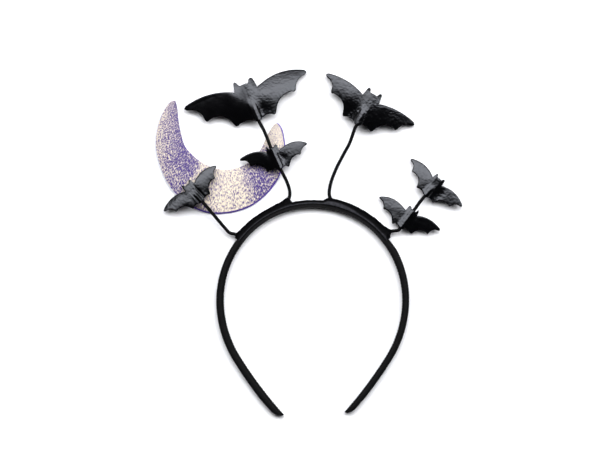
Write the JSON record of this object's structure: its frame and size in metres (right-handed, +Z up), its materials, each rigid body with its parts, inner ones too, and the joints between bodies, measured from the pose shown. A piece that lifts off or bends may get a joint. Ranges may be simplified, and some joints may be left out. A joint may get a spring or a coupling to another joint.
{
  "type": "bat headband",
  "caption": "Black satin hair band with leather-cloth bats on bent wire stalks and a shiny crescent moon behind them, lying flat as it is put down.",
  "frame": {"origin": "under the middle of the whole piece, on the table that it lies on", "axes": "+X to the right, +Y from the band's tips to its crown and bats, +Z up from the table"},
  "size_m": [0.2232, 0.2522, 0.0132],
  "materials": {
    "satin": "satin weave with a soft sheen",
    "ribbon": "fine ribbed ribbon",
    "thread": "thread wound round a wire",
    "leather_cloth": "grained leather cloth, half matt",
    "foil": "crinkled foil, violet and cream"
  },
  "bodies": {
    "root": {"headband": "satin", "crown_wrap": "ribbon", "wire_left": "thread", "wire_right": "thread", "big_left_front": "leather_cloth", "big_left_back": "leather_cloth", "big_right_front": "leather_cloth", "big_right_back": "leather_cloth", "small_left_front": "leather_cloth", "small_left_back": "leather_cloth", "small_centre_front": "leather_cloth", "small_centre_back": "leather_cloth", "small_right_upper_front": "leather_cloth", "small_right_upper_back": "leather_cloth", "small_right_lower_front": "leather_cloth", "small_right_lower_back": "leather_cloth", "moon": "foil"}
  },
  "joints": []
}
